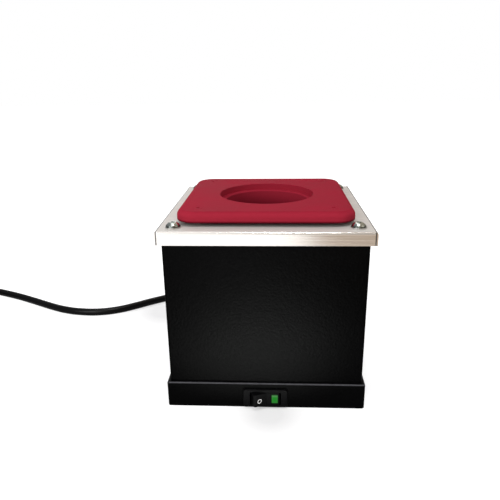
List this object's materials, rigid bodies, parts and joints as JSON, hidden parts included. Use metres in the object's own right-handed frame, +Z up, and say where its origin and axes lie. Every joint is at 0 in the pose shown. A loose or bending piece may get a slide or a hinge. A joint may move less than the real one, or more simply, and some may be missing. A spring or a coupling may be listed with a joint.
{
  "type": "solder pot",
  "caption": "Electric solder pot: square black steel case, stainless cover, red cast top plate round a deep heated crucible, lit rocker switch in the base, mains lead stored coiled behind.",
  "frame": {"origin": "centre of the underside of the base, on the bench", "axes": "+Z up, -Y out of the front with the switch, +X to the right seen from the front"},
  "size_m": [0.4792, 0.2226, 0.1385],
  "materials": {
    "black_coat": "satin black powder coat",
    "stainless": "brushed along X",
    "bright_steel": "bright zinc or stainless",
    "plated_steel": "plain zinc plate",
    "red_coat": "satin heat-proof red coating",
    "can_steel": "plain sheet steel",
    "fibre": "white ceramic fibre",
    "heater_jacket": "dull metal jacket over mica",
    "ceramic": null,
    "brass": "plain brass",
    "black_plastic": "smooth black polyamide",
    "black_rubber": "matt black PVC",
    "white_plastic": "natural polyamide",
    "green_lens": "clear green, lit from behind",
    "lamp_glass": "clear glass",
    "brown_wire": "brown PVC",
    "blue_wire": "blue PVC",
    "earth_wire": "green and yellow PVC",
    "glass_sleeving": "woven glass sleeving"
  },
  "bodies": {
    "case": {"base_pan": "black_coat", "bottom_plate": "black_coat", "bottom_brackets": "plated_steel", "bottom_screws": "plated_steel", "sleeve": "black_coat", "seam_strap": "black_coat", "corner_posts": "plated_steel", "post_screws": "plated_steel", "cover": "stainless", "cover_screws": "bright_steel", "cover_washers": "bright_steel", "top_plate": "red_coat", "crucible": "red_coat", "plate_screws": "red_coat", "plate_spacers": "plated_steel", "plate_nuts": "plated_steel", "insulation_can": "can_steel", "insulation_blanket": "fibre", "insulation_pad": "fibre", "band_heater": "heater_jacket", "clamp_bolts": "plated_steel", "clamp_nuts": "plated_steel", "heater_bushes": "ceramic", "heater_studs": "brass", "heater_leads": "glass_sleeving", "wire_grommet": "black_rubber", "terminal_block": "white_plastic", "terminal_screws": "brass", "block_screws": "plated_steel", "switch_housing": "black_plastic", "pilot_lamp": "lamp_glass", "switch_tabs": "brass", "tab_sockets": "plated_steel", "live_core": "brown_wire", "neutral_core": "blue_wire", "earth_core": "earth_wire", "switch_lead": "brown_wire", "lamp_lead": "blue_wire", "earth_stud": "plated_steel", "earth_nut": "plated_steel", "earth_tag": "plated_steel", "strain_relief": "black_rubber", "relief_nut": "black_plastic", "cord_tail": "black_rubber", "power_cord": "black_rubber", "cord_coil": "black_rubber", "plug_lead": "black_rubber", "plug_body": "black_rubber", "plug_pins": "bright_steel", "plug_clips": "bright_steel"},
    "rocker": {"rocker": "black_plastic", "rocker_lens": "green_lens"}
  },
  "joints": [
    {"name": "rocker_hinge", "type": "hinge", "parent": "case", "child": "rocker", "pos_m": [0, -0.067, 0.008], "axis": [0, 0, -1], "range_deg": [0, 24]}
  ]
}
